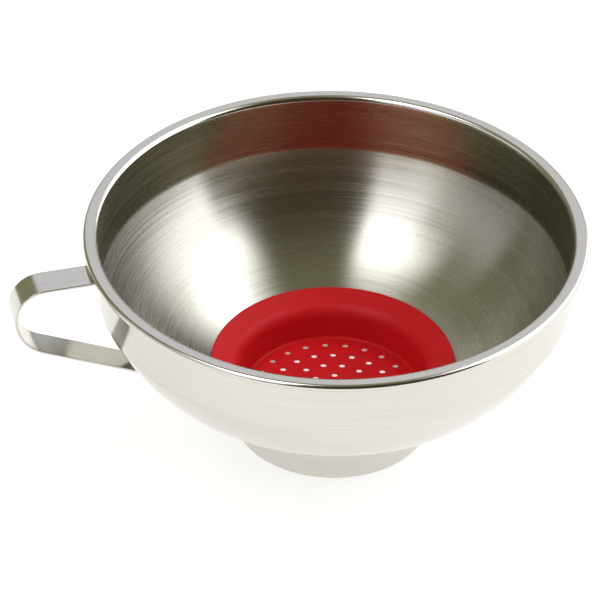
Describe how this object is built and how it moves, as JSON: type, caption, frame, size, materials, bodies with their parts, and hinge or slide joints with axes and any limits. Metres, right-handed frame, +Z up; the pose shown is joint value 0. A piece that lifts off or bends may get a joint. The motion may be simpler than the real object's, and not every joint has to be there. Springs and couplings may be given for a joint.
{
  "type": "canning funnel",
  "caption": "Wide steel canning funnel: curled lip, round bowl, short straight spout, welded strip loop handle and a lift-out perforated strainer cup.",
  "frame": {"origin": "on the funnel's axis, at the open lower end of the spout", "axes": "+Z up along the axis, out of the bowl; the handle reaches towards -X"},
  "size_m": [0.1617, 0.14, 0.066],
  "materials": {
    "bowl_steel": "brushed round the axis inside, polished outside",
    "handle_steel": "polished",
    "weld_steel": "satin",
    "red_plastic": "satin moulded"
  },
  "bodies": {
    "funnel": {"funnel_bowl": "bowl_steel", "loop_handle": "handle_steel", "spot_welds": "weld_steel"},
    "strainer": {"strainer_insert": "red_plastic"}
  },
  "joints": [
    {"name": "strainer_lift", "type": "slide", "parent": "funnel", "child": "strainer", "axis": [0, 0, 1], "range_m": [0, 0.065]}
  ]
}
